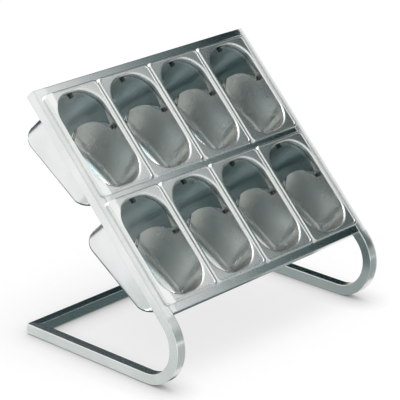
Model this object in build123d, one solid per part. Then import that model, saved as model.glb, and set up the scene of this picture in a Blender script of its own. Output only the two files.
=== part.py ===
from build123d import *
import math
import os

# Steel tube frame
TUBE = 25.0
TUBE_WALL = 1.5
TUBE_EDGE_R = 2.0
BEND_RADIUS = 87.0
BEND_GAP = 13.5
FACE_TILT = 46.2
BASE_DEPTH = 479.0

# Glide pads under the base tubes
GLIDE_DIAMETER = 18.0
GLIDE_HEIGHT = 1.2
GLIDE_EDGE = 0.4
GLIDE_INSET = 30.0

# Grid of containers, each hanging by its rim
COLUMNS = 4
ROW_NAMES = ("lower", "upper")
RIM_WIDTH = 162.0
RIM_LENGTH = 265.0
COLUMN_GAP = 1.5
LUG_CLEARANCE = 1.5

# Pressed sheet of one container
SHEET = 1.0
RIM_CORNER_R = 10.0
FLANGE_WIDTH = 12.0
FLANGE_HEIGHT = 5.0
BEAD_WIDTH = 6.0
BEAD_RISE = 1.6
BEAD_OUTER_R = 3.6
LIP_R = 4.5
OPENING_CORNER_R = 58.0
FLOOR_CORNER_EXTRA = 3.0
DRAFT = 2.0
DEPTH_AT_MIDDLE = 134.0
FLOOR_TILT = 12.2
FLOOR_FILLET = 26.0
RAMP_RADIUS = 55.0
RAMP_ANGLE = 65.0
RAMP_START = 4.0

# Stacking lugs pressed outward just under the rim
LUG_WIDTH = 14.0
LUG_HEIGHT = 9.0
LUG_DEPTH = 2.5
LUG_DROP = 4.0
LUG_UPHILL = 17.5

# Clear half cover that snaps into the three lugs
COVER_SHEET = 3.0
COVER_GAP = 1.0
COVER_REACH = 75.0
ARCH_RADIUS = 100.0
EAR_WIDTH = 8.0
TAB_PLAY = 0.5

# Openings, rim contact and grid that follow: the row gap leaves both rims a seat on the middle tube
OPENING_WIDTH = RIM_WIDTH - 2 * FLANGE_WIDTH
OPENING_LENGTH = RIM_LENGTH - 2 * FLANGE_WIDTH
RIM_OVERLAP = FLANGE_WIDTH - SHEET - LUG_DEPTH - LUG_CLEARANCE
RIM_TOP = FLANGE_HEIGHT + BEAD_RISE
LUG_FILLET = LUG_HEIGHT / 4
LUG_Z = -LUG_DROP - LUG_HEIGHT / 2
TAB_WIDTH = LUG_WIDTH - 2 * LUG_FILLET - 2 * TAB_PLAY
ROW_GAP = TUBE - 2 * RIM_OVERLAP
PITCH_X = RIM_WIDTH + COLUMN_GAP
PITCH_Y = RIM_LENGTH + ROW_GAP
ROWS = len(ROW_NAMES)
GRID_WIDTH = COLUMNS * PITCH_X - COLUMN_GAP
GRID_LENGTH = ROWS * PITCH_Y - ROW_GAP

# Frame around the grid
INNER_WIDTH = GRID_WIDTH - 2 * RIM_OVERLAP
INNER_LENGTH = GRID_LENGTH - 2 * RIM_OVERLAP
FRAME_WIDTH = INNER_WIDTH + 2 * TUBE
FRAME_LENGTH = INNER_LENGTH + 2 * TUBE
LEG_X = (FRAME_WIDTH - TUBE) / 2

# Side profile: the bend starts a set gap below the bottom rail
SIN = math.sin(math.radians(FACE_TILT))
COS = math.cos(math.radians(FACE_TILT))
TUBE_Z = GLIDE_HEIGHT + TUBE / 2
BEND_V = FRAME_LENGTH / 2 + BEND_GAP
BEND_DEPTH = TUBE / 2 + BEND_RADIUS
FACE_HEIGHT = TUBE_Z + BEND_RADIUS + BEND_V * SIN + BEND_DEPTH * COS
BEND_Y = BEND_DEPTH * SIN - BEND_V * COS
CORNER_Y = BEND_Y - BEND_RADIUS / math.tan(math.radians(FACE_TILT / 2))
BASE_REAR = BEND_Y - BEND_DEPTH + BASE_DEPTH
FACE = Plane((0, 0, FACE_HEIGHT), (1, 0, 0), (0, -SIN, COS))


def tube_section(width, depth):
    """Hollow rounded rectangle of one tube."""
    outer = RectangleRounded(width, depth, TUBE_EDGE_R)
    bore = RectangleRounded(width - 2 * TUBE_WALL, depth - 2 * TUBE_WALL, TUBE_EDGE_R / 2)
    return outer - bore


def rail(width, length):
    """Straight tube along X, its front face on the plane Z = 0."""
    section = Plane.YZ * tube_section(width, TUBE)
    return Pos(-length / 2, 0, -TUBE / 2) * extrude(section, length)


def keep_side(shape, point, normal):
    """Mitre cut: keeps what lies on the side the normal points to."""
    return split(shape, bisect_by=Plane(origin=point, z_dir=normal), keep=Keep.TOP)


def at_face(shape):
    """Moves a shape from the flat of the face to its place in the frame."""
    return FACE.location * shape


def leg(side):
    """One bent tube: base run, bend and inclined run, mitred at both ends."""
    x = side * LEG_X
    rear = (x, BASE_REAR + TUBE, TUBE_Z)
    top = at_face(Pos(x, FRAME_LENGTH / 2 + TUBE, -TUBE / 2)).position
    path = FilletPolyline(rear, (x, CORNER_Y, TUBE_Z), top, radius=BEND_RADIUS)
    start = Plane(origin=rear, x_dir=(1, 0, 0), z_dir=(0, -1, 0))
    tube = sweep(start * tube_section(TUBE, TUBE), path=path)
    outer_x = side * FRAME_WIDTH / 2
    corner = at_face(Pos(outer_x, FRAME_LENGTH / 2, 0)).position
    tube = keep_side(tube, corner, (side, -COS, -SIN))
    return keep_side(tube, (outer_x, BASE_REAR, 0), (side, -1, 0))


def top_rail():
    """Tube across the top of the face, mitred into both legs."""
    bar = Pos(0, (FRAME_LENGTH - TUBE) / 2, 0) * rail(TUBE, FRAME_WIDTH)
    for side in (-1, 1):
        corner = (side * FRAME_WIDTH / 2, FRAME_LENGTH / 2, 0)
        bar = keep_side(bar, corner, (-side, 1, 0))
    return at_face(bar)


def rear_base_bar():
    """Tube across the back of the base, mitred into both base runs."""
    bar = Pos(0, BASE_REAR - TUBE / 2, TUBE_Z + TUBE / 2) * rail(TUBE, FRAME_WIDTH)
    for side in (-1, 1):
        corner = (side * FRAME_WIDTH / 2, BASE_REAR, 0)
        bar = keep_side(bar, corner, (-side, 1, 0))
    return bar


def glide(side, y):
    """Round pad stuck under a base run."""
    pad = Pos(side * LEG_X, y, GLIDE_HEIGHT / 2) * Cylinder(GLIDE_DIAMETER / 2, GLIDE_HEIGHT)
    return fillet(pad.edges().group_by(Axis.Z)[0], GLIDE_EDGE)


def tub(skin):
    """Solid filling of a container down to its slanted floor, grown by skin."""
    tilt = math.radians(FLOOR_TILT)
    turn = math.radians(RAMP_ANGLE - FLOOR_TILT)
    slope = math.tan(tilt)
    deep = DEPTH_AT_MIDDLE + OPENING_LENGTH * slope
    grow = 2 * skin
    shrink = grow - 2 * deep * math.tan(math.radians(DRAFT))
    floor_r = FLOOR_FILLET + FLOOR_CORNER_EXTRA + skin
    mouth = RectangleRounded(OPENING_WIDTH + grow, OPENING_LENGTH + grow, OPENING_CORNER_R + skin)
    foot = RectangleRounded(OPENING_WIDTH + shrink, OPENING_LENGTH + shrink, floor_r)
    block = loft([Pos(0, 0, -deep) * foot, Pos(0, 0, FLANGE_HEIGHT) * mouth], ruled=True)

    drop = DEPTH_AT_MIDDLE + skin / math.cos(tilt)
    reach = OPENING_LENGTH
    knee_y = RAMP_START - reach / 2 - skin * (math.tan(turn / 2) * math.cos(tilt) + math.sin(tilt))
    knee = (knee_y, -drop - knee_y * slope)
    high = (reach, -drop - reach * slope)
    low = (knee_y - reach / math.tan(math.radians(RAMP_ANGLE)), knee[1] + reach)
    bed = FilletPolyline(high, knee, low, radius=RAMP_RADIUS + skin)
    lid = Polyline(low, (low[0], 2 * reach), (reach, 2 * reach), high)
    side_view = Plane.YZ * make_face(bed.edges() + lid.edges())
    solid = block & extrude(side_view, RIM_WIDTH, both=True)
    bed_faces = solid.faces().filter_by(lambda face: face.normal_at().Z < -0.3)
    edges = [edge for face in bed_faces for edge in face.edges()]
    outline = [edge for edge in edges if sum(edge.is_same(other) for other in edges) == 1]
    return fillet(outline, FLOOR_FILLET + skin)


def flat_edges(shape, height, width, length):
    """Edges that lie flat at one height inside a width and a length."""
    level = shape.edges().filter_by_position(Axis.Z, height - 0.01, height + 0.01)
    inside = level.filter_by_position(Axis.X, -width / 2 - 0.1, width / 2 + 0.1)
    return inside.filter_by_position(Axis.Y, -length / 2 - 0.1, length / 2 + 0.1)


def rim():
    """Rolled rim: skirt, raised bead and flat flange, hollow underneath."""
    body = extrude(RectangleRounded(RIM_WIDTH, RIM_LENGTH, RIM_CORNER_R), RIM_TOP)
    body = fillet(body.edges().group_by(Axis.Z)[-1], BEAD_OUTER_R)
    inner_width = RIM_WIDTH - 2 * BEAD_WIDTH
    inner_length = RIM_LENGTH - 2 * BEAD_WIDTH
    pan = RectangleRounded(inner_width, inner_length, BEAD_WIDTH)
    body -= Pos(0, 0, FLANGE_HEIGHT) * extrude(pan, RIM_TOP)
    crest = flat_edges(body, RIM_TOP, inner_width, inner_length)
    body = fillet(crest, BEAD_RISE * 0.75)

    hollow_width = RIM_WIDTH - 2 * SHEET
    hollow_length = RIM_LENGTH - 2 * SHEET
    hollow = extrude(RectangleRounded(hollow_width, hollow_length, RIM_CORNER_R - SHEET), RIM_TOP - SHEET)
    hollow = fillet(hollow.edges().group_by(Axis.Z)[-1], BEAD_OUTER_R - SHEET)
    step = RectangleRounded(inner_width + 2 * SHEET, inner_length + 2 * SHEET, BEAD_WIDTH + SHEET)
    hollow -= Pos(0, 0, FLANGE_HEIGHT - SHEET) * extrude(step, RIM_TOP)
    return body - hollow


def lugs(skin):
    """Shallow blocks on both long sides and at the uphill end, grown by skin."""
    width = LUG_WIDTH + 2 * skin
    depth = 2 * (LUG_DEPTH + skin)
    height = LUG_HEIGHT + 2 * skin
    found = []
    for side in (-1, 1):
        block = Box(depth, width, height)
        block = fillet(block.edges().filter_by(Axis.X), LUG_FILLET + skin)
        found.append(Pos(side * OPENING_WIDTH / 2, LUG_UPHILL, LUG_Z) * block)
    block = Box(width, depth, height)
    block = fillet(block.edges().filter_by(Axis.Y), LUG_FILLET + skin)
    found.append(Pos(0, OPENING_LENGTH / 2, LUG_Z) * block)
    return found


def container():
    """One pressed container, its rim standing on the plane Z = 0."""
    shell = rim() + tub(SHEET)
    under = flat_edges(shell, FLANGE_HEIGHT - SHEET, OPENING_WIDTH + 2 * SHEET, OPENING_LENGTH + 2 * SHEET)
    shell = fillet(under, LIP_R - SHEET)
    for lug in lugs(SHEET):
        shell += lug
    shell -= tub(0)
    lip = flat_edges(shell, FLANGE_HEIGHT, OPENING_WIDTH, OPENING_LENGTH)
    shell = fillet(lip, LIP_R)
    for lug in lugs(0):
        shell -= lug
    return shell


def cover():
    """Half cover over a container's uphill end: arched sheet with a tab standing in each lug."""
    inset = COVER_GAP + (FLANGE_HEIGHT - LUG_Z + COVER_SHEET) * math.tan(math.radians(DRAFT))
    width = OPENING_WIDTH - 2 * inset
    length = OPENING_LENGTH - 2 * inset
    foot_y = LUG_UPHILL - TAB_WIDTH / 2
    outline = RectangleRounded(width, length, OPENING_CORNER_R - inset)
    outline &= Pos(0, foot_y + length / 2) * Rectangle(width, length)
    arch = Pos(0, OPENING_LENGTH / 2 - COVER_REACH - ARCH_RADIUS) * Circle(ARCH_RADIUS)
    arch &= Rectangle(width - 2 * EAR_WIDTH, 2 * length)
    sheet = Pos(0, 0, LUG_Z) * extrude(outline - arch, COVER_SHEET / 2, both=True)

    tab_height = LUG_HEIGHT - TAB_PLAY
    tab_length = EAR_WIDTH + inset + LUG_DEPTH - TAB_PLAY
    tab_mid = LUG_DEPTH - TAB_PLAY - tab_length / 2
    tab_z = LUG_Z - TAB_PLAY / 2
    for side in (-1, 1):
        tab = Box(tab_length, TAB_WIDTH, tab_height)
        sheet += Pos(side * (OPENING_WIDTH / 2 + tab_mid), LUG_UPHILL, tab_z) * tab
    tab = Box(TAB_WIDTH, tab_length, tab_height)
    return sheet + Pos(0, OPENING_LENGTH / 2 + tab_mid, tab_z) * tab


def assembly():
    """Every piece of the rack by node name, in the frame's own coordinates."""
    nodes = {
        "left_leg": leg(-1),
        "right_leg": leg(1),
        "top_rail": top_rail(),
        "middle_rail": at_face(rail(TUBE, INNER_WIDTH)),
        "bottom_rail": at_face(Pos(0, (TUBE - FRAME_LENGTH) / 2, 0) * rail(TUBE, INNER_WIDTH)),
        "rear_base_bar": rear_base_bar(),
    }
    front_y = BEND_Y + GLIDE_INSET
    rear_y = BASE_REAR - TUBE - GLIDE_INSET
    for side, hand in ((-1, "left"), (1, "right")):
        nodes["glide_front_" + hand] = glide(side, front_y)
        nodes["glide_rear_" + hand] = glide(side, rear_y)
    pieces = {"container_": container(), "cover_": cover()}
    for row in range(ROWS):
        for column in range(COLUMNS):
            x = (column - (COLUMNS - 1) / 2) * PITCH_X
            y = (row - (ROWS - 1) / 2) * PITCH_Y
            place = ROW_NAMES[row] + "_" + str(column + 1)
            for kind, piece in pieces.items():
                nodes[kind + place] = at_face(Pos(x, y, 0) * piece)
    return nodes


def export():
    """Stands the rack on the middle of its footprint and writes the parts."""
    nodes = assembly()
    box = Compound(list(nodes.values())).bounding_box()
    home = Pos(-box.center().X, -box.center().Y, -box.min.Z)
    os.makedirs("parts", exist_ok=True)
    for name, shape in nodes.items():
        export_step(home * shape, "parts/" + name + ".step")


export()
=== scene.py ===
import logging
import math
from collections.abc import Callable, Iterable, Iterator
from dataclasses import dataclass
from enum import Enum

import bmesh
import bpy
from bmesh.types import BMEdge, BMesh, BMFace, BMVert
from mathutils import Matrix, Vector


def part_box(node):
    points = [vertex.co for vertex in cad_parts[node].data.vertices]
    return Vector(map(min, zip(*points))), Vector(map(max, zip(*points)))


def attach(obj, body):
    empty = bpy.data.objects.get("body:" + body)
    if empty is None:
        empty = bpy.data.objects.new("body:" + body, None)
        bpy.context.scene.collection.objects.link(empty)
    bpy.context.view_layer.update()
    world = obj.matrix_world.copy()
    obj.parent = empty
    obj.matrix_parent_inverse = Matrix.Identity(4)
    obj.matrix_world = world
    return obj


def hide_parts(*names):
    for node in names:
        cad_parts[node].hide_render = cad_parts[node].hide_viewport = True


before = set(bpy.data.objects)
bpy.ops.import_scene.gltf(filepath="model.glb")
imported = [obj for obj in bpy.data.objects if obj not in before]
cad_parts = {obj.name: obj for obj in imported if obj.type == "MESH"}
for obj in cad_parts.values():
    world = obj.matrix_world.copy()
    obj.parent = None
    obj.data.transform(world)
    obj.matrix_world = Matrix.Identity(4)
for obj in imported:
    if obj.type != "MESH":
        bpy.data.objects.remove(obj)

LOG = logging.getLogger("rack")
MM = 0.001
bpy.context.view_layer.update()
IMAGE_PIXELS = 400
# Millimetres: edges this close to level count as level, and a cut welds to points this close.
TOUCH = 1e-5
# Millimetres: how far apart two outlines are drawn while they are joined.
PULL = 1000.0
Loop = list[BMEdge]
Point = tuple[float, float, float]


class Body(Enum):
    """The rigid bodies that pieces ride on; a container's own body adds its place in the grid."""

    FRAME = "frame"
    LIFT = "lift"


class Slot(Enum):
    """The record's material slots. Each new piece keeps one, but nothing in this script applies it."""

    TUBE = "satin_tube"
    SHEET = "polished_sheet"
    COVER = "smoked_cover"


def linear(hex_colour: str) -> tuple[float, float, float, float]:
    """Turns an sRGB hex colour into linear light.

    Args:
        hex_colour: Six hex digits after a hash sign.

    Returns:
        Red, green, blue and full alpha.
    """
    found = []
    for start in (1, 3, 5):
        value = int(hex_colour[start:start + 2], 16) / 255
        found.append(value / 12.92 if value <= 0.04045 else ((value + 0.055) / 1.055) ** 2.4)
    return (found[0], found[1], found[2], 1.0)


def add_node(tree: bpy.types.NodeTree, kind: str, links: dict | None = None,
             **settings: object) -> bpy.types.Node:
    """Adds one shader node with its settings and links.

    Args:
        tree: The node tree that takes it.
        kind: Blender's type name of the node.
        links: Input name or index to an output socket, or to a plain value.
        settings: Properties of the node.

    Returns:
        The new node.
    """
    node = tree.nodes.new(kind)
    for name, value in settings.items():
        setattr(node, name, value)
    for name, value in (links or {}).items():
        if isinstance(value, bpy.types.NodeSocket):
            tree.links.new(value, node.inputs[name])
        else:
            node.inputs[name].default_value = value
    return node


def ramp_stops(node: bpy.types.Node, *stops: tuple[float, str]) -> bpy.types.NodeSocket:
    """Sets a colour ramp's stops from hex colours.

    Args:
        node: The colour ramp.
        stops: Position and sRGB hex colour, in rising order.

    Returns:
        The ramp's colour socket.
    """
    ramp = node.color_ramp
    while len(ramp.elements) < len(stops):
        ramp.elements.new(0.5)
    for element, (place, colour) in zip(ramp.elements, stops):
        element.position = place
        element.color = linear(colour)
    return node.outputs["Color"]


def blank_material(name: str) -> bpy.types.Material:
    """Makes a material with an empty node tree.

    Args:
        name: The material's name.

    Returns:
        The new material.
    """
    material = bpy.data.materials.new(name)
    material.use_nodes = True
    material.node_tree.nodes.clear()
    return material


def any_ray(tree: bpy.types.NodeTree, *kinds: str) -> bpy.types.NodeSocket:
    """Tells the rays of some kinds from all others.

    Args:
        tree: The node tree that asks.
        kinds: Outputs of the light path node.

    Returns:
        A socket that is 1 for a ray of these kinds and 0 for any other.
    """
    rays = add_node(tree, "ShaderNodeLightPath")
    found = rays.outputs[kinds[0]]
    for kind in kinds[1:]:
        either = add_node(tree, "ShaderNodeMath", {0: found, 1: rays.outputs[kind]}, operation="MAXIMUM")
        found = either.outputs[0]
    return found


@dataclass(frozen=True)
class SteelFinish:
    """Bare stainless steel, coloured only by what it mirrors.

    The grit sets the width of the marks, the haze how far they blur a reflection. Grinding marks are drawn
    wider than the real ones, which are too fine to show.
    """

    name: str
    colour: str
    shade: str
    roughness: float
    haze: float
    grit_mm: float
    stretch: float
    bump: float
    anisotropy: float = 0.0
    marks_turn: float = 0.25
    relief_mm: float = 0.02
    cloud_mm: float = 71.43
    cloud_stops: tuple[float, float] = (0.35, 0.65)

    def make(self) -> bpy.types.Material:
        """Builds the procedural material.

        Returns:
            A new material with the finish's name.
        """
        material = blank_material(self.name)
        tree = material.node_tree
        place = add_node(tree, "ShaderNodeTexCoord")
        source = place.outputs["UV" if self.anisotropy else "Object"]
        fine = 1.0 / (self.grit_mm * MM)
        grain_space = add_node(tree, "ShaderNodeMapping", {
            "Vector": source, "Scale": (fine / self.stretch, fine, fine)})
        grain = add_node(tree, "ShaderNodeTexNoise", {
            "Vector": grain_space.outputs[0], "Scale": 1.0, "Detail": 2.0})
        cloud = add_node(tree, "ShaderNodeTexNoise", {
            "Vector": place.outputs["Object"], "Scale": 1.0 / (self.cloud_mm * MM), "Detail": 3.0})
        dark, pale = self.cloud_stops
        tone = ramp_stops(add_node(tree, "ShaderNodeValToRGB", {"Fac": cloud.outputs["Fac"]}),
                          (dark, self.shade), (pale, self.colour))
        spread = add_node(tree, "ShaderNodeMapRange", {
            "Value": grain.outputs["Fac"],
            "To Min": self.roughness - self.haze, "To Max": self.roughness + self.haze})
        relief = add_node(tree, "ShaderNodeBump", {
            "Height": grain.outputs["Fac"], "Strength": self.bump, "Distance": self.relief_mm * MM})
        shader = add_node(tree, "ShaderNodeBsdfPrincipled", {
            "Base Color": tone, "Metallic": 1.0, "Roughness": spread.outputs["Result"],
            "Anisotropic": self.anisotropy, "Anisotropic Rotation": self.marks_turn,
            "Normal": relief.outputs["Normal"]})
        if self.anisotropy:
            along = add_node(tree, "ShaderNodeTangent", direction_type="UV_MAP", uv_map="Grain")
            tree.links.new(along.outputs["Tangent"], shader.inputs["Tangent"])
        add_node(tree, "ShaderNodeOutputMaterial", {"Surface": shader.outputs["BSDF"]})
        return material


@dataclass(frozen=True)
class RubberFinish:
    """Moulded elastomer: dull black with a fine sand texture from the mould."""

    name: str = "moulded_elastomer"
    colour: str = "#1d1e1e"
    shade: str = "#262726"
    roughness: float = 0.75
    sand_mm: float = 0.4
    sand_stops: tuple[float, float] = (0.4, 0.6)
    bump: float = 0.4
    relief_mm: float = 0.1

    def make(self) -> bpy.types.Material:
        """Builds the procedural material.

        Returns:
            A new material with the finish's name.
        """
        material = blank_material(self.name)
        tree = material.node_tree
        place = add_node(tree, "ShaderNodeTexCoord")
        sand = add_node(tree, "ShaderNodeTexNoise", {
            "Vector": place.outputs["Object"], "Scale": 1.0 / (self.sand_mm * MM), "Detail": 2.0})
        low, high = self.sand_stops
        tone = ramp_stops(add_node(tree, "ShaderNodeValToRGB", {"Fac": sand.outputs["Fac"]}),
                          (low, self.colour), (high, self.shade))
        relief = add_node(tree, "ShaderNodeBump", {
            "Height": sand.outputs["Fac"], "Strength": self.bump, "Distance": self.relief_mm * MM})
        shader = add_node(tree, "ShaderNodeBsdfPrincipled", {
            "Base Color": tone, "Roughness": self.roughness, "Normal": relief.outputs["Normal"]})
        add_node(tree, "ShaderNodeOutputMaterial", {"Surface": shader.outputs["BSDF"]})
        return material


@dataclass(frozen=True)
class PlasticFinish:
    """Moulded plastic, clear or solid, with a glossy skin that handling has dulled in patches."""

    name: str
    colour: str
    roughness: float
    clear: float = 0.0
    ior: float = 1.58
    wear: float = 0.2
    wear_mm: float = 16.67

    def make(self) -> bpy.types.Material:
        """Builds the procedural material.

        Returns:
            A new material with the finish's name.
        """
        material = blank_material(self.name)
        tree = material.node_tree
        place = add_node(tree, "ShaderNodeTexCoord")
        patches = add_node(tree, "ShaderNodeTexNoise", {
            "Vector": place.outputs["Object"], "Scale": 1.0 / (self.wear_mm * MM), "Detail": 3.0})
        gloss = add_node(tree, "ShaderNodeMapRange", {
            "Value": patches.outputs["Fac"],
            "To Min": self.roughness * (1 - self.wear), "To Max": self.roughness * (1 + self.wear)})
        shader = add_node(tree, "ShaderNodeBsdfPrincipled", {
            "Base Color": linear(self.colour), "Roughness": gloss.outputs["Result"], "IOR": self.ior,
            "Transmission Weight": self.clear})
        add_node(tree, "ShaderNodeOutputMaterial", {"Surface": shader.outputs["BSDF"]})
        return material


# Ground tube: the belt leaves fine marks along the tube, so reflections smear across it.
SATIN_TUBE = SteelFinish(
    "satin_ground_stainless_tube", "#ebedec", "#e2e5e3",
    roughness=0.24, haze=0.03, grit_mm=0.35, stretch=40.0, bump=0.02, anisotropy=0.72)
# Polished inside of the pressing: a soft mirror with the faint ripple of drawn sheet. Its colour is painted
# paler than bare steel, as painted light that makes up for the light the tinted covers take from the insides.
POLISHED_SHEET = SteelFinish(
    "polished_drawn_stainless", "#f8f8f6", "#f1f2f0",
    roughness=0.28, haze=0.02, grit_mm=3.0, stretch=1.0, bump=0.05)
# Outside of the pressing: left as the die made it, pale and dull.
SATIN_SHEET = SteelFinish(
    "satin_drawn_stainless", "#eaecec", "#e2e4e4",
    roughness=0.26, haze=0.04, grit_mm=0.6, stretch=1.0, bump=0.15)
# Half cover: clear polycarbonate smoked in the mass, with the skin of a polished mould.
SMOKED_SHEET = PlasticFinish("smoked_moulded_polycarbonate", "#8e9fa3", roughness=0.06, clear=1.0)
# Tabs of the cover: the same plastic, so thick that it looks black.
SMOKED_TAB = PlasticFinish("smoked_moulded_polycarbonate_tab", "#1d2728", roughness=0.3)


def verts_of(edges: Iterable[BMEdge]) -> list[BMVert]:
    """The vertices of some edges, each once."""
    return list({v for e in edges for v in e.verts})


def rounded_loop(bm: BMesh, width: float, length: float, radius: float, place: Matrix,
                 segments: int = 10, cuts: tuple[int, int] = (0, 0)) -> Loop:
    """Adds the outline of a rounded rectangle.

    Args:
        bm: The mesh that takes it.
        width: Size along X in millimetres.
        length: Size along Y.
        radius: Corner radius.
        place: Where the outline goes.
        segments: Edges in each corner.
        cuts: Extra points on each side along X and along Y.

    Returns:
        The outline's edges.
    """
    quad = bmesh.ops.create_grid(bm, x_segments=1, y_segments=1, size=0.5)["verts"]
    bmesh.ops.scale(bm, vec=(width, length, 1.0), verts=quad)
    made = bmesh.ops.bevel(bm, geom=quad, offset=radius, offset_type="OFFSET", affect="VERTICES",
                           segments=segments, profile=0.5, material=-1)
    face = max({f for v in made["verts"] for f in v.link_faces}, key=lambda f: f.calc_area())
    edges = set(face.edges)
    bmesh.ops.delete(bm, geom=[face], context="FACES_ONLY")
    for axis, count in enumerate(cuts):
        side = [e for e in edges if abs((e.verts[0].co - e.verts[1].co)[1 - axis]) < TOUCH]
        if count:
            split = bmesh.ops.subdivide_edges(bm, edges=side, cuts=count)["geom_split"]
            edges |= {g for g in split if isinstance(g, BMEdge)}
    outline = list(edges)
    bmesh.ops.transform(bm, matrix=place, verts=verts_of(outline))
    return outline


def bridge(bm: BMesh, first: Loop, second: Loop) -> None:
    """Joins two outlines around the Z axis with a strip of faces.

    The second one is drawn far down meanwhile, so that level outlines pair up point to point too.

    Args:
        bm: The mesh that holds both.
        first: One outline.
        second: The other, with as many edges.
    """
    away = Vector((0.0, 0.0, -PULL))
    bmesh.ops.translate(bm, vec=away, verts=verts_of(second))
    bmesh.ops.bridge_loops(bm, edges=first + second)
    bmesh.ops.translate(bm, vec=-away, verts=verts_of(second))


def boundary(bm: BMesh) -> Loop:
    """The mesh's open edges."""
    return [e for e in bm.edges if e.is_boundary]


def extrude_loop(bm: BMesh, loop: Loop, step: Vector) -> Loop:
    """Draws a tube outline out along a straight line.

    Args:
        bm: The mesh that holds the outline.
        loop: The outline's edges.
        step: How far to go, in millimetres.

    Returns:
        The outline at the far end.
    """
    made = bmesh.ops.extrude_edge_only(bm, edges=loop)["geom"]
    ends = [g for g in made if isinstance(g, BMVert)]
    bmesh.ops.translate(bm, vec=step, verts=ends)
    known = set(ends)
    return [g for g in made if isinstance(g, BMEdge) and known.issuperset(g.verts)]


def cut_away(bm: BMesh, point: Vector, outward: Vector) -> None:
    """Cuts off everything on the outward side of a plane.

    Args:
        bm: The mesh to cut.
        point: A point on the plane.
        outward: The plane's normal, towards what goes.
    """
    everything = bm.verts[:] + bm.edges[:] + bm.faces[:]
    bmesh.ops.bisect_plane(bm, geom=everything, dist=TOUCH, plane_co=point, plane_no=outward,
                           clear_outer=True)


def ease_edges(bm: BMesh, edges: Loop, offset: float) -> None:
    """Rounds sharp edges over.

    Args:
        bm: The mesh that holds them.
        edges: The edges.
        offset: How far from the edge the round starts, in millimetres.
    """
    bmesh.ops.bevel(bm, geom=edges, offset=offset, offset_type="OFFSET", affect="EDGES",
                    segments=2, profile=0.5, material=-1)


def quarter_turn(steps: int) -> list[float]:
    """Angles from 0 to 90 degrees in even steps."""
    return [math.radians(90.0 * step / steps) for step in range(steps + 1)]


@dataclass(frozen=True)
class Layout:
    """Sizes that the frame and the containers share, in millimetres."""

    tube: float = 25.0
    tube_edge: float = 2.0
    glide: float = 1.2
    bend: float = 87.0
    bend_gap: float = 13.5
    tilt: float = math.radians(46.2)
    base_depth: float = 479.0
    columns: int = 4
    rows: tuple[str, ...] = ("lower", "upper")
    rim_width: float = 162.0
    rim_length: float = 265.0
    column_gap: float = 1.5
    row_gap: float = 11.0
    rim_overlap: float = 7.0

    @property
    def inner_width(self) -> float:
        """Clear width between the legs."""
        return self.columns * (self.rim_width + self.column_gap) - self.column_gap - 2 * self.rim_overlap

    @property
    def frame_width(self) -> float:
        """Width over both legs."""
        return self.inner_width + 2 * self.tube

    @property
    def frame_length(self) -> float:
        """Length of the face over both rails."""
        grid = len(self.rows) * (self.rim_length + self.row_gap) - self.row_gap
        return grid - 2 * self.rim_overlap + 2 * self.tube

    @property
    def tube_z(self) -> float:
        """Height of the base tubes' centre line."""
        return self.glide + self.tube / 2

    @property
    def bend_v(self) -> float:
        """How far down the face from its middle the bend starts."""
        return self.frame_length / 2 + self.bend_gap

    @property
    def home_y(self) -> float:
        """Where the middle of the face lies front to back, from the CAD legs."""
        front = self.bend_y(0.0) - self.bend - self.tube / 2
        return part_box("left_leg")[0].y / MM - front

    def bend_y(self, home: float) -> float:
        """Front-to-back place of the bend's centre, counted from home."""
        return home + (self.tube / 2 + self.bend) * math.sin(self.tilt) - self.bend_v * math.cos(self.tilt)

    def spots(self) -> Iterator[tuple[str, Matrix]]:
        """Name and place of every container in the grid.

        Yields:
            The row's name with the column's number, and the matrix in millimetres.
        """
        for row, row_name in enumerate(self.rows):
            for column in range(self.columns):
                x = (column - (self.columns - 1) / 2) * (self.rim_width + self.column_gap)
                y = (row - (len(self.rows) - 1) / 2) * (self.rim_length + self.row_gap)
                yield f"{row_name}_{column + 1}", self.face() @ Matrix.Translation((x, y, 0.0))

    def face(self) -> Matrix:
        """Takes the flat of the face to its place in the rack.

        Returns:
            The matrix, in millimetres.
        """
        height = self.tube_z + self.bend + self.bend_v * math.sin(self.tilt)
        height += (self.tube / 2 + self.bend) * math.cos(self.tilt)
        return Matrix.Translation((0.0, self.home_y, height)) @ Matrix.Rotation(self.tilt, 4, "X")


@dataclass
class Piece:
    """One finished object of the rack: its mesh, finishes and the CAD node it stands for."""

    name: str
    node: str
    body: str
    slot: Slot
    finishes: list[bpy.types.Material]
    sharp_above: float = math.radians(38.0)

    def publish(self, bm: BMesh, place: Matrix) -> None:
        """Makes the object, rides it on its body and hides its CAD node.

        Args:
            bm: The shape in millimetres; it is freed.
            place: Where the shape goes, in millimetres.
        """
        bmesh.ops.transform(bm, matrix=Matrix.Scale(MM, 4) @ place, verts=bm.verts)
        mesh = bpy.data.meshes.new(self.name)
        bm.to_mesh(mesh)
        bm.free()
        for material in self.finishes:
            mesh.materials.append(material)
        mesh.shade_smooth()
        mesh.set_sharp_from_angle(angle=self.sharp_above)
        piece = bpy.data.objects.new(self.name, mesh)
        bpy.context.scene.collection.objects.link(piece)
        normals = piece.modifiers.new("even_shading", "WEIGHTED_NORMAL")
        normals.keep_sharp = True
        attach(piece, self.body)
        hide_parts(self.node)
        LOG.info("%s: %d faces, rides on %s", self.name, len(mesh.polygons), self.body)


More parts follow.
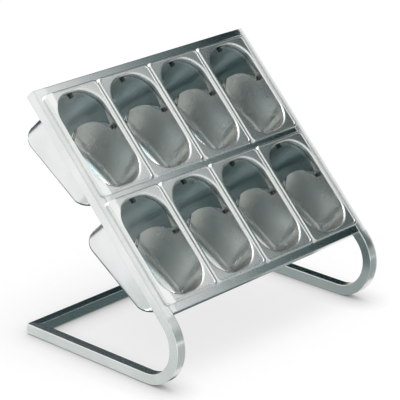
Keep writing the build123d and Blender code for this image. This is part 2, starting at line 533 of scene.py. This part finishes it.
@dataclass
class TubeFrame:
    """The welded stand: two bent legs, three rails across the face and a bar across the back."""

    layout: Layout
    finish: bpy.types.Material
    bend_steps: int = 44
    edge_segments: int = 4
    seam: float = 0.35

    def outline(self, bm: BMesh, place: Matrix) -> Loop:
        """Adds a tube's rounded outline."""
        size = self.layout.tube
        return rounded_loop(bm, size, size, self.layout.tube_edge, place, self.edge_segments)

    def close_ends(self, bm: BMesh) -> None:
        """Fills a tube's ends and breaks their edges, so that the weld line shows.

        Args:
            bm: The tube.
        """
        ends = boundary(bm)
        bmesh.ops.holes_fill(bm, edges=ends, sides=0)
        ease_edges(bm, ends, self.seam)
        bmesh.ops.recalc_face_normals(bm, faces=bm.faces)

    def mark_grain(self, bm: BMesh, along: Callable[[Vector], tuple[float, float]]) -> None:
        """Lays the UV map that the grinding marks follow.

        Args:
            bm: The tube, in its own millimetres.
            along: Gives a point's place along and across the tube.
        """
        layer = bm.loops.layers.uv.new("Grain")
        for face in bm.faces:
            for corner in face.loops:
                u, v = along(corner.vert.co)
                corner[layer].uv = (u * MM, v * MM)

    def build_rail(self, node: str, length: float, place: Matrix, mitred: bool) -> None:
        """Makes one straight tube along X.

        Args:
            node: The CAD node it stands for.
            length: Its length over the longer edge.
            place: Where the middle of its front face goes.
            mitred: Whether both ends are cut at 45 degrees, longer edge towards +Y, or square.
        """
        bm = bmesh.new()
        tube = self.layout.tube
        start = Matrix.Translation((-length / 2, 0.0, -tube / 2)) @ Matrix.Rotation(math.pi / 2, 4, "Y")
        loop = self.outline(bm, start)
        extrude_loop(bm, loop, Vector((length, 0.0, 0.0)))
        if mitred:
            for side in (-1.0, 1.0):
                cut_away(bm, Vector((side * length / 2, tube / 2, 0.0)), Vector((side, -1.0, 0.0)))
        self.close_ends(bm)
        self.mark_grain(bm, lambda co: (co.x, co.y + co.z))
        Piece("satin_" + node, node, Body.FRAME.value, Slot.TUBE, [self.finish]).publish(bm, place)

    def build_leg(self, hand: str, side: float) -> None:
        """Makes one bent leg: base run, bend and inclined run.

        Args:
            hand: Left or right.
            side: -1 for left, 1 for right.
        """
        lay = self.layout
        home = lay.home_y
        face = lay.face()
        centre = Vector((0.0, lay.bend_y(home), lay.tube_z + lay.bend))
        rear = lay.bend_y(home) - lay.bend - lay.tube / 2 + lay.base_depth
        x = side * (lay.frame_width - lay.tube) / 2
        sweep = math.pi - lay.tilt
        uphill = Vector((0.0, math.cos(lay.tilt), math.sin(lay.tilt)))

        bm = bmesh.new()
        start = Matrix.Translation((x, rear + lay.tube, lay.tube_z)) @ Matrix.Rotation(math.pi / 2, 4, "X")
        loop = self.outline(bm, start)
        loop = extrude_loop(bm, loop, Vector((0.0, centre.y - rear - lay.tube, 0.0)))
        turned = bmesh.ops.spin(bm, geom=loop, cent=centre, axis=(1.0, 0.0, 0.0), dvec=(0.0, 0.0, 0.0),
                                angle=-sweep, steps=self.bend_steps, use_duplicate=False)["geom_last"]
        loop = [g for g in turned if isinstance(g, BMEdge)]
        extrude_loop(bm, loop, uphill * (lay.bend_v + lay.frame_length / 2 + lay.tube))
        outer = side * lay.frame_width / 2
        cut_away(bm, face @ Vector((outer, lay.frame_length / 2, 0.0)), Vector((-side, uphill.y, uphill.z)))
        cut_away(bm, Vector((outer, rear, 0.0)), Vector((-side, 1.0, 0.0)))
        self.close_ends(bm)

        def along(co: Vector) -> tuple[float, float]:
            """Follows the bent tube.

            Args:
                co: A point of the leg.

            Returns:
                Length along the tube and distance across it.
            """
            from_centre = co - centre
            climb = from_centre.dot(uphill)
            if from_centre.y > 0.0 and from_centre.z < 0.0:
                return -from_centre.y, co.x + co.z
            if climb > 0.0:
                return lay.bend * sweep + climb, co.x + from_centre.y * uphill.z - from_centre.z * uphill.y
            turn = math.atan2(-from_centre.y, -from_centre.z) % math.tau
            return lay.bend * turn, co.x + math.hypot(from_centre.y, from_centre.z)

        self.mark_grain(bm, along)
        node = hand + "_leg"
        piece = Piece("satin_" + node, node, Body.FRAME.value, Slot.TUBE, [self.finish])
        piece.publish(bm, Matrix.Identity(4))

    def build(self) -> None:
        """Makes every tube of the stand."""
        lay = self.layout
        face = lay.face()
        half = (lay.frame_length - lay.tube) / 2
        for hand, side in (("left", -1.0), ("right", 1.0)):
            self.build_leg(hand, side)
        top = face @ Matrix.Translation((0.0, half, 0.0))
        self.build_rail("top_rail", lay.frame_width, top, mitred=True)
        bottom = face @ Matrix.Translation((0.0, -half, 0.0))
        self.build_rail("bottom_rail", lay.inner_width, bottom, mitred=False)
        self.build_rail("middle_rail", lay.inner_width, face, mitred=False)
        rear_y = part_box("rear_base_bar")[1].y / MM - lay.tube / 2
        rear = Matrix.Translation((0.0, rear_y, lay.tube_z + lay.tube / 2))
        self.build_rail("rear_base_bar", lay.frame_width, rear, mitred=True)


@dataclass
class Container:
    """One pressed container: rolled rim, rounded mouth, three lugs and a slanted floor."""

    layout: Layout
    polished: bpy.types.Material
    satin: bpy.types.Material
    sheet: float = 1.0
    rim_corner: float = 10.0
    corner_ease: float = 0.25
    flange: float = 12.0
    flange_height: float = 5.0
    bead_width: float = 6.0
    bead_width: float = 6.0
    bead_rise: float = 1.6
    bead_round: float = 3.6
    bead_steps: int = 6
    inner_share: float = 0.75
    inner_steps: int = 4
    crease: tuple[tuple[float, float], ...] = ((0.15, 0.1), (0.6, 0.0))
    lip: float = 4.5
    lip_steps: int = 5
    mouth_corner: float = 58.0
    floor_corner: float = 36.9
    draft: float = math.radians(2.0)
    depth: float = 134.0
    floor_tilt: float = math.radians(12.2)
    floor_round: float = 26.0
    ramp_radius: float = 42.0
    foot_steps: int = 12
    weld: float = 0.05
    cut_weld: float = 1e-4
    floor_insets: tuple[float, ...] = (40.0, 48.0, 56.0)
    inset_corner: float = 2.0
    lug_width: float = 14.0
    lug_height: float = 9.0
    lug_depth: float = 2.5
    lug_drop: float = 4.0
    lug_uphill: float = 17.5
    lug_side: float = 0.4
    lug_zone: float = 0.42
    side_cuts: tuple[int, int] = (4, 14)

    @property
    def mouth(self) -> Vector:
        """Width and length of the mouth."""
        return Vector((self.layout.rim_width - 2 * self.flange, self.layout.rim_length - 2 * self.flange))

    def round_foot(self, vert: BMVert, share: float) -> None:
        """Moves a point of the wall's outline onto the rounded foot of the wall.

        The floor falls uphill, so the foot turns further there; at the downhill end its round is wider.

        Args:
            vert: A point of the outline at the foot of the wall.
            share: How far round it goes, from 0 at the wall to 1 at the floor.
        """
        half = self.mouth / 2
        span = half - Vector((self.floor_corner, self.floor_corner))
        centre = Vector((max(-span.x, min(span.x, vert.co.x)), max(-span.y, min(span.y, vert.co.y))))
        out = (vert.co.xy - centre).normalized()
        lean = math.atan(-math.tan(self.floor_tilt) * out.y)
        radius = self.floor_round + (self.ramp_radius - self.floor_round) * max(0.0, -out.y) ** 2
        turn = share * (math.pi / 2 - lean)
        corner_z = -self.depth - vert.co.y * math.tan(self.floor_tilt)
        vert.co.z = corner_z + radius / math.tan(math.pi / 4 + lean / 2) - radius * math.sin(turn)
        vert.co.xy -= out * radius * (1 - math.cos(turn))

    def rim_profile(self) -> list[tuple[float, float]]:
        """Points across the rim, from the skirt's edge over the bead and its crease to the flat flange.

        Returns:
            Pairs of inset from the outer edge and height.
        """
        top = self.flange_height + self.bead_rise
        points = [(0.0, 0.0)]
        for turn in quarter_turn(self.bead_steps):
            inset = self.bead_round * (1 - math.cos(turn))
            points.append((inset, top - self.bead_round * (1 - math.sin(turn))))
        inner = self.bead_rise * self.inner_share
        for turn in quarter_turn(self.inner_steps):
            inset = self.bead_width - inner + inner * math.sin(turn)
            points.append((inset, top - inner * (1 - math.cos(turn))))
        for past, above in self.crease:
            points.append((self.bead_width + past, self.flange_height + above))
        return points

    def ring(self, bm: BMesh, grow: float, corner: float, height: float) -> Loop:
        """Adds one outline that follows the mouth.

        Args:
            bm: The container.
            grow: How far outside the mouth it runs.
            corner: Its corner radius.
            height: Its height.

        Returns:
            The outline's edges.
        """
        size = self.mouth
        place = Matrix.Translation((0.0, 0.0, height))
        return rounded_loop(bm, size.x + 2 * grow, size.y + 2 * grow, corner, place, cuts=self.side_cuts)

    def taper(self, loop: Loop) -> None:
        """Draws an outline in by the draft of the walls at its depth.

        Args:
            loop: The outline's edges.
        """
        for vert in verts_of(loop):
            inset = -vert.co.z * math.tan(self.draft)
            vert.co.x *= 1 - 2 * inset / self.mouth.x
            vert.co.y *= 1 - 2 * inset / self.mouth.y

    def rim_rings(self, bm: BMesh) -> list[Loop]:
        """Adds the outlines of the rim, the flange and the rounded lip.

        Args:
            bm: The container.

        Returns:
            The outlines, from the outside in.
        """
        rings = []
        for inset, height in self.rim_profile():
            place = Matrix.Translation((0.0, 0.0, height))
            width = self.layout.rim_width - 2 * inset
            length = self.layout.rim_length - 2 * inset
            corner = self.rim_corner - self.corner_ease * inset
            rings.append(rounded_loop(bm, width, length, corner, place, cuts=self.side_cuts))
        for turn in quarter_turn(self.lip_steps):
            grow = self.lip * (1 - math.sin(turn))
            height = self.flange_height - self.lip * (1 - math.cos(turn))
            rings.append(self.ring(bm, grow, self.mouth_corner + grow, height))
        return rings

    def wall_rings(self, bm: BMesh) -> list[Loop]:
        """Adds outlines down the wall, two at each edge of the lugs.

        Args:
            bm: The container.

        Returns:
            The outlines, from the top down.
        """
        rings = []
        for edge in (-self.lug_drop, -self.lug_drop - self.lug_height):
            for shift in (self.lug_side, -self.lug_side):
                ring = self.ring(bm, 0.0, self.mouth_corner, edge + shift)
                self.taper(ring)
                rings.append(ring)
        return rings

    def floor_rings(self, bm: BMesh) -> list[Loop]:
        """Adds the outlines of the rounded foot of the wall and of the slanted floor.

        Args:
            bm: The container.

        Returns:
            The outlines, from the wall inwards.
        """
        rings = []
        for step in range(self.foot_steps + 1):
            ring = self.ring(bm, 0.0, self.floor_corner, 0.0)
            for vert in verts_of(ring):
                self.round_foot(vert, step / self.foot_steps)
            self.taper(ring)
            rings.append(ring)
        for inset in self.floor_insets:
            ring = self.ring(bm, -inset, self.inset_corner, 0.0)
            for vert in verts_of(ring):
                vert.co.z = -self.depth - vert.co.y * math.tan(self.floor_tilt)
            self.taper(ring)
            rings.append(ring)
        return rings

    def press_lugs(self, bm: BMesh) -> None:
        """Presses the stacking lugs out of both long walls and the uphill wall.

        Args:
            bm: The container's sheet.
        """
        half = self.lug_width / 2
        side = self.lug_side
        for shift in (-half - side, -half + side, half - side, half + side):
            for point, axis in (((shift, 0.0, 0.0), (1.0, 0.0, 0.0)),
                                ((0.0, self.lug_uphill + shift, 0.0), (0.0, 1.0, 0.0))):
                everything = bm.verts[:] + bm.edges[:] + bm.faces[:]
                bmesh.ops.bisect_plane(bm, geom=everything, dist=self.cut_weld, plane_co=point, plane_no=axis)
        top = -self.lug_drop
        band = [v for v in bm.verts if top - self.lug_height < v.co.z < top]
        wall_x, wall_y = self.lug_zone * self.mouth.x, self.lug_zone * self.mouth.y
        for hand in (-1.0, 1.0):
            patch = [v for v in band if v.co.x * hand > wall_x and abs(v.co.y - self.lug_uphill) < half]
            bmesh.ops.translate(bm, vec=(hand * self.lug_depth, 0.0, 0.0), verts=patch)
        patch = [v for v in band if v.co.y > wall_y and abs(v.co.x) < half]
        bmesh.ops.translate(bm, vec=(0.0, self.lug_depth, 0.0), verts=patch)

    def model(self) -> bpy.types.Mesh:
        """Models the pressed sheet, the shape of every container.

        Returns:
            The shape's mesh.
        """
        bm = bmesh.new()
        rings = self.rim_rings(bm) + self.wall_rings(bm) + self.floor_rings(bm)
        for first, second in zip(rings, rings[1:]):
            bridge(bm, first, second)
        bmesh.ops.holes_fill(bm, edges=rings[-1], sides=0)
        self.press_lugs(bm)
        bmesh.ops.remove_doubles(bm, verts=bm.verts, dist=self.weld)
        bmesh.ops.recalc_face_normals(bm, faces=bm.faces)
        lowest = min(bm.faces, key=lambda f: f.calc_center_median().z)
        if lowest.normal.z < 0.0:
            bmesh.ops.reverse_faces(bm, faces=bm.faces)
        made = bmesh.ops.solidify(bm, geom=bm.faces[:], thickness=self.sheet)["geom"]
        for face in (g for g in made if isinstance(g, BMFace)):
            face.material_index = 1
        shape = bpy.data.meshes.new("pressed_sheet")
        bm.to_mesh(shape)
        bm.free()
        return shape

    def build(self) -> None:
        """Sets one container in every place of the grid."""
        shape = self.model()
        for spot, place in self.layout.spots():
            bm = bmesh.new()
            bm.from_mesh(shape)
            piece = Piece("pressed_container_" + spot, "container_" + spot, f"{Body.LIFT.value}_{spot}",
                          Slot.SHEET, [self.polished, self.satin])
            piece.publish(bm, place)
        bpy.data.meshes.remove(shape)


@dataclass
class Cover:
    """The clear half cover of each container: an arched sheet with a tab standing in each lug."""

    pan: Container
    clear: bpy.types.Material
    dark: bpy.types.Material
    sheet: float = 3.0
    gap: float = 1.0
    reach: float = 75.0
    arch_radius: float = 100.0
    ear: float = 8.0
    play: float = 0.5
    edge: float = 0.5
    sharp_above: float = math.radians(60.0)
    arc_steps: int = 20

    @property
    def height(self) -> float:
        """Height of the sheet's middle, which is the middle of the lugs."""
        return -self.pan.lug_drop - self.pan.lug_height / 2

    @property
    def underside(self) -> float:
        """Height of the sheet's lower face."""
        return self.height - self.sheet / 2

    @property
    def inset(self) -> float:
        """How far inside the mouth the sheet ends."""
        return self.gap + (self.pan.flange_height - self.height + self.sheet) * math.tan(self.pan.draft)

    @property
    def tab_width(self) -> float:
        """Width of a tab, which stands between the rounds of its lug."""
        return self.pan.lug_width - self.pan.lug_height / 2 - 2 * self.play

    def arc(self, centre: tuple[float, float], radius: float, start: float, end: float) -> list[Vector]:
        """Points along an arc at the underside of the sheet.

        Args:
            centre: Middle of the arc.
            radius: Its radius.
            start: Angle of the first point.
            end: Angle of the last point.

        Returns:
            The points in order.
        """
        found = []
        for step in range(self.arc_steps + 1):
            turn = start + (end - start) * step / self.arc_steps
            x = centre[0] + radius * math.cos(turn)
            y = centre[1] + radius * math.sin(turn)
            found.append(Vector((x, y, self.underside)))
        return found

    def outline(self) -> list[Vector]:
        """Outline of the sheet: round uphill end, two ears and the arch between them.

        Returns:
            The points in order, on the sheet's lower face.
        """
        half = self.pan.mouth / 2 - Vector((self.inset, self.inset))
        round_end = self.pan.mouth_corner - self.inset
        corner = half - Vector((round_end, round_end))
        foot = self.pan.lug_uphill - self.tab_width / 2
        low = self.underside
        inner = half.x - self.ear
        swing = math.acos(inner / self.arch_radius)
        crown = self.pan.mouth.y / 2 - self.reach
        points = self.arc((corner.x, corner.y), round_end, 0.0, math.pi / 2)
        points += self.arc((-corner.x, corner.y), round_end, math.pi / 2, math.pi)
        points += [Vector((-half.x, foot, low)), Vector((-inner, foot, low))]
        points += self.arc((0.0, crown - self.arch_radius), self.arch_radius, math.pi - swing, swing)
        return points + [Vector((inner, foot, low)), Vector((half.x, foot, low))]

    def add_sheet(self, bm: BMesh) -> None:
        """Adds the arched sheet with eased edges.

        Args:
            bm: The cover.
        """
        corners = [bmesh.ops.create_vert(bm, co=point)["vert"][0] for point in self.outline()]
        under = bmesh.ops.contextual_create(bm, geom=corners)["faces"]
        raised = bmesh.ops.extrude_face_region(bm, geom=under, use_keep_orig=True)["geom"]
        top = [g for g in raised if isinstance(g, BMVert)]
        bmesh.ops.translate(bm, vec=(0.0, 0.0, self.sheet), verts=top)
        bmesh.ops.recalc_face_normals(bm, faces=bm.faces)
        rims = [e for e in bm.edges if e.calc_face_angle(0.0) > self.sharp_above]
        ease_edges(bm, rims, self.edge)

    def add_tab(self, bm: BMesh, turn: float, wall: float, along: float) -> None:
        """Adds one tab.

        Args:
            bm: The cover.
            turn: Which way the tab points, as an angle about the cover's normal.
            wall: How far out the mouth's wall stands.
            along: The tab's shift to its left along the wall.
        """
        length = self.ear + self.inset + self.pan.lug_depth - self.play
        size = (length, self.tab_width, self.pan.lug_height - self.play, 1.0)
        middle = (wall + self.pan.lug_depth - self.play - length / 2, along, self.height - self.play / 2)
        place = Matrix.Rotation(turn, 4, "Z") @ Matrix.Translation(middle) @ Matrix.Diagonal(size)
        block = bmesh.ops.create_cube(bm, size=1.0, matrix=place)["verts"]
        for face in {f for v in block for f in v.link_faces}:
            face.material_index = 1
        edges = list({e for v in block for e in v.link_edges})
        ease_edges(bm, edges, self.edge)

    def build(self) -> None:
        """Sets one cover in every container."""
        mouth = self.pan.mouth / 2
        for spot, place in self.pan.layout.spots():
            bm = bmesh.new()
            self.add_sheet(bm)
            self.add_tab(bm, 0.0, mouth.x, self.pan.lug_uphill)
            self.add_tab(bm, math.pi, mouth.x, -self.pan.lug_uphill)
            self.add_tab(bm, math.pi / 2, mouth.y, 0.0)
            piece = Piece("smoked_cover_" + spot, "cover_" + spot, f"{Body.LIFT.value}_{spot}",
                          Slot.COVER, [self.clear, self.dark])
            piece.publish(bm, place)


@dataclass
class GlidePads:
    """The round pads under the base tubes, kept as the CAD made them."""

    finish: bpy.types.Material
    nodes: tuple[str, ...] = ("glide_front_left", "glide_front_right", "glide_rear_left", "glide_rear_right")

    def dress(self) -> None:
        """Gives each pad its finish."""
        for node in self.nodes:
            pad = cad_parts[node]
            pad.data.materials.clear()
            pad.data.materials.append(self.finish)
            LOG.info("%s: dressed", node)


class Axis(Enum):
    """The axis that a flag stands square to."""

    X = 0
    Y = 1
    Z = 2


@dataclass(frozen=True)
class Flag:
    """A flat cloth or card beside the set that only reflections see, with its sizes in metres.

    The place is where it cuts its axis, and the points are each corner's other two coordinates.
    """

    name: str
    tone: str
    axis: Axis
    place: float
    points: tuple[tuple[float, float], ...]

    @property
    def corners(self) -> list[Point]:
        """The corners in space."""
        at = self.axis.value
        return [(*point[:at], self.place, *point[at:]) for point in self.points]

    def cloth(self) -> bpy.types.Material:
        """Makes the flag's even tone.

        Returns:
            A new material with the flag's name.
        """
        material = blank_material("cloth_" + self.name)
        tree = material.node_tree
        glow = add_node(tree, "ShaderNodeEmission", {"Color": linear(self.tone), "Strength": 1.0})
        add_node(tree, "ShaderNodeOutputMaterial", {"Surface": glow.outputs[0]})
        return material


# Where the flags stand, in metres: round the set, on the floor, and close beside each leg.
RIGHT, LEFT, BACK, FRONT, TOP = 1.25, -1.6, 2.6, -2.2, 3.2
FLOOR = 0.002
BY_RIGHT_LEG, BY_LEFT_LEG = 0.35, -0.3
# The right flags fade the face from white to dark. The others shade the tubes and the containers from the
# back, the front, the left, the top and the floor. The cards lighten the legs and the right bend.
FLAGS = (
    Flag("right_dark_flag", "#0a2326", Axis.X, RIGHT, (
        (-0.6, 0.4), (-1.53, 0.4), (0.9, 2.7), (0.95, 1.05), (2.6, 1.05), (2.6, 0.0), (-0.55, 0.0))),
    Flag("right_back_flag", "#38464a", Axis.X, RIGHT, (
        (0.95, 1.05), (0.9, 2.7), (0.9, 3.6), (2.6, 4.0), (2.6, 1.05))),
    Flag("right_middle_flag", "#5b6c6d", Axis.X, RIGHT, (
        (-1.98, 0.4), (0.9, 3.15), (0.9, 2.7), (-1.53, 0.4))),
    Flag("right_pale_flag", "#a6b0b0", Axis.X, RIGHT, (
        (-2.38, 0.4), (0.9, 3.55), (0.9, 3.15), (-1.98, 0.4))),
    Flag("right_low_flag", "#a3adac", Axis.X, RIGHT, (
        (-2.38, 0.0), (-2.38, 0.4), (-0.6, 0.4), (-0.55, 0.0))),
    Flag("back_flag", "#12282b", Axis.Y, BACK, ((-0.3, 0.0), (-0.3, 1.5), (1.25, 1.5), (1.25, 0.0))),
    Flag("front_flag", "#b8c0bf", Axis.Y, FRONT, ((-2.2, 0.15), (-2.2, 1.5), (1.2, 1.5), (1.2, 0.15))),
    Flag("under_flag", "#4f6061", Axis.Z, FLOOR, (
        (-0.318, 0.197), (-0.318, -0.22), (0.14, -0.22), (0.14, 0.197))),
    Flag("under_right_flag", "#9aa5a3", Axis.Z, FLOOR, (
        (0.14, 0.197), (0.14, -0.22), (0.318, -0.22), (0.318, 0.197))),
    Flag("left_floor_flag", "#bcc2c0", Axis.Z, FLOOR, (
        (-0.318, -0.26), (-0.318, -0.9), (0.2, -0.9), (0.2, -0.26))),
    Flag("right_floor_flag", "#9aa5a3", Axis.Z, FLOOR, (
        (0.2, -0.26), (0.2, -0.9), (1.25, -0.9), (1.25, -0.26))),
    Flag("back_floor_flag", "#2c4144", Axis.Z, FLOOR, (
        (-0.35, 0.235), (0.25, 0.235), (0.75, 1.4), (-0.05, 1.4))),
    Flag("left_front_flag", "#b8c0bf", Axis.X, LEFT, (
        (-2.2, 0.4), (-2.2, 3.2), (-0.2, 3.2), (-0.8, 1.9), (-0.8, 0.4))),
    Flag("side_floor_flag", "#dbe0de", Axis.Z, FLOOR, (
        (-0.65, 0.25), (-0.65, -0.4), (-0.35, -0.4), (-0.35, 0.25))),
    Flag("right_leg_card", "#fafcfb", Axis.X, BY_RIGHT_LEG, (
        (-0.209, 0.17), (-0.231, 0.19), (0.208, 0.648), (0.23, 0.627))),
    Flag("left_leg_card", "#fafcfb", Axis.X, BY_LEFT_LEG, (
        (-0.223, 0.183), (-0.245, 0.204), (0.194, 0.662), (0.216, 0.641))),
    Flag("bend_card", "#ccd3d1", Axis.X, BY_RIGHT_LEG, (
        (-0.209, 0.17), (-0.231, 0.19), (-0.258, 0.145), (-0.265, 0.101), (-0.258, 0.057),
        (-0.231, 0.067), (-0.237, 0.101), (-0.231, 0.135))),
    Flag("top_front_flag", "#d4d9d8", Axis.Z, TOP, (
        (-1.5, -0.75), (-1.5, -2.6), (1.2, -2.6), (1.2, -0.75))),
)


@dataclass
class Studio:
    """White sweep, soft light from above, flags and cards for the steel to mirror, and the camera.

    Places and sizes are in metres.
    """

    camera_place: Point = (-3.0899, -2.8668, 1.9109)
    camera_aim: Point = (-0.0309, -0.0311, 0.3087)
    focal_pixels: float = 1961.7
    sensor_mm: float = 36.0
    view_depth: float = 200.0
    surround_light: float = 0.78
    floor_half: float = 40.0
    floor_tone: str = "#a0a0a0"
    floor_glow: float = 0.652
    shadow_reach: float = 0.07
    box_place: Point = (-1.25, 0.45, 3.2)
    box_size: float = 1.2
    box_watts: float = 45.0
    key_place: Point = (0.1, -0.35, 3.0)
    key_spread: float = math.radians(36.0)
    key_strength: float = 0.9
    lamp_aim: Point = (0.0, 0.0, 0.2)
    flags: tuple[Flag, ...] = FLAGS

    def build_camera(self) -> None:
        """Sets the camera at the photograph's viewing angle."""
        data = bpy.data.cameras.new("view")
        data.sensor_width = self.sensor_mm
        data.lens = self.focal_pixels * self.sensor_mm / IMAGE_PIXELS
        data.clip_end = self.view_depth
        camera = bpy.data.objects.new("view", data)
        place = Vector(self.camera_place)
        look = (Vector(self.camera_aim) - place).to_track_quat("-Z", "Y").to_matrix().to_4x4()
        camera.matrix_world = Matrix.Translation(place) @ look
        bpy.context.scene.collection.objects.link(camera)
        bpy.context.scene.camera = camera

    def build_world(self) -> None:
        """A plain surround, white where it is seen and a little dimmer as light."""
        world = bpy.data.worlds.new("surround")
        world.use_nodes = True
        tree = world.node_tree
        tree.nodes.clear()
        seen = any_ray(tree, "Is Camera Ray", "Is Glossy Ray", "Is Transmission Ray")
        level = add_node(tree, "ShaderNodeMapRange", {
            "Value": seen, "To Min": self.surround_light, "To Max": 1.0})
        light = add_node(tree, "ShaderNodeBackground", {
            "Color": linear("#ffffff"), "Strength": level.outputs["Result"]})
        add_node(tree, "ShaderNodeOutputWorld", {"Surface": light.outputs[0]})
        bpy.context.scene.world = world

    def build_floor(self) -> None:
        """A white floor that keeps the rack's shadow.

        Part of its white is a glow that only direct sight and reflections meet. The glow dims close to the
        rack, which stands in for the contact shadow.
        """
        material = blank_material("white_sweep")
        tree = material.node_tree
        seen = any_ray(tree, "Is Camera Ray", "Is Glossy Ray")
        near = add_node(tree, "ShaderNodeAmbientOcclusion", {"Distance": self.shadow_reach})
        full = add_node(tree, "ShaderNodeMath", {0: seen, 1: self.floor_glow}, operation="MULTIPLY")
        lift = add_node(tree, "ShaderNodeMath", {0: full.outputs[0], 1: near.outputs["AO"]},
                        operation="MULTIPLY")
        matte = add_node(tree, "ShaderNodeBsdfDiffuse", {"Color": linear(self.floor_tone)})
        glow = add_node(tree, "ShaderNodeEmission", {
            "Color": linear("#ffffff"), "Strength": lift.outputs[0]})
        both = add_node(tree, "ShaderNodeAddShader", {0: matte.outputs[0], 1: glow.outputs[0]})
        add_node(tree, "ShaderNodeOutputMaterial", {"Surface": both.outputs[0]})
        bm = bmesh.new()
        bmesh.ops.create_grid(bm, x_segments=1, y_segments=1, size=self.floor_half)
        self.stage("floor", bm, material)

    def build_flags(self) -> None:
        """Cloths and cards round the set, seen only in what mirrors them."""
        for flag in self.flags:
            bm = bmesh.new()
            corners = [bmesh.ops.create_vert(bm, co=corner)["vert"][0] for corner in flag.corners]
            bmesh.ops.contextual_create(bm, geom=corners)
            cloth = self.stage(flag.name, bm, flag.cloth())
            cloth.visible_camera = False
            cloth.visible_diffuse = False
            cloth.visible_shadow = False

    def build_lights(self) -> None:
        """A softbox from the upper left shows in the steel, and a wide soft key lights the floor."""
        box = bpy.data.lights.new("left_softbox", "AREA")
        box.shape = "RECTANGLE"
        box.size, box.size_y = self.box_size, self.box_size
        box.energy = self.box_watts
        self.hang(box, self.box_place).visible_diffuse = False
        key = bpy.data.lights.new("soft_key", "SUN")
        key.angle = self.key_spread
        key.energy = self.key_strength
        self.hang(key, self.key_place).visible_glossy = False

    def hang(self, data: bpy.types.Light, place: Point) -> bpy.types.Object:
        """Hangs one light so that it looks at the rack.

        Args:
            data: The light.
            place: Where it hangs.

        Returns:
            The lamp's object.
        """
        lamp = bpy.data.objects.new(data.name, data)
        lamp.location = place
        sight = Vector(self.lamp_aim) - Vector(place)
        lamp.rotation_euler = sight.to_track_quat("-Z", "Y").to_euler()
        bpy.context.scene.collection.objects.link(lamp)
        return lamp

    def stage(self, name: str, bm: BMesh, material: bpy.types.Material) -> bpy.types.Object:
        """Makes one object of the set.

        Args:
            name: The object's name.
            bm: Its shape in metres; it is freed.
            material: Its material.

        Returns:
            The new object.
        """
        mesh = bpy.data.meshes.new(name)
        bm.to_mesh(mesh)
        bm.free()
        mesh.materials.append(material)
        made = bpy.data.objects.new(name, mesh)
        bpy.context.scene.collection.objects.link(made)
        return made

    def build(self) -> None:
        """Sets up everything round the rack."""
        bpy.context.scene.view_settings.view_transform = "Standard"
        self.build_camera()
        self.build_world()
        self.build_floor()
        self.build_flags()
        self.build_lights()
        LOG.info("studio: camera lens %.1f mm", bpy.context.scene.camera.data.lens)


def main() -> None:
    """Builds the rack and the studio."""
    logging.basicConfig(level=logging.INFO, format="%(name)s: %(message)s")
    layout = Layout()
    TubeFrame(layout, SATIN_TUBE.make()).build()
    pan = Container(layout, POLISHED_SHEET.make(), SATIN_SHEET.make())
    pan.build()
    Cover(pan, SMOKED_SHEET.make(), SMOKED_TAB.make()).build()
    GlidePads(RubberFinish().make()).dress()
    Studio().build()


if __name__ == "__main__":
    main()
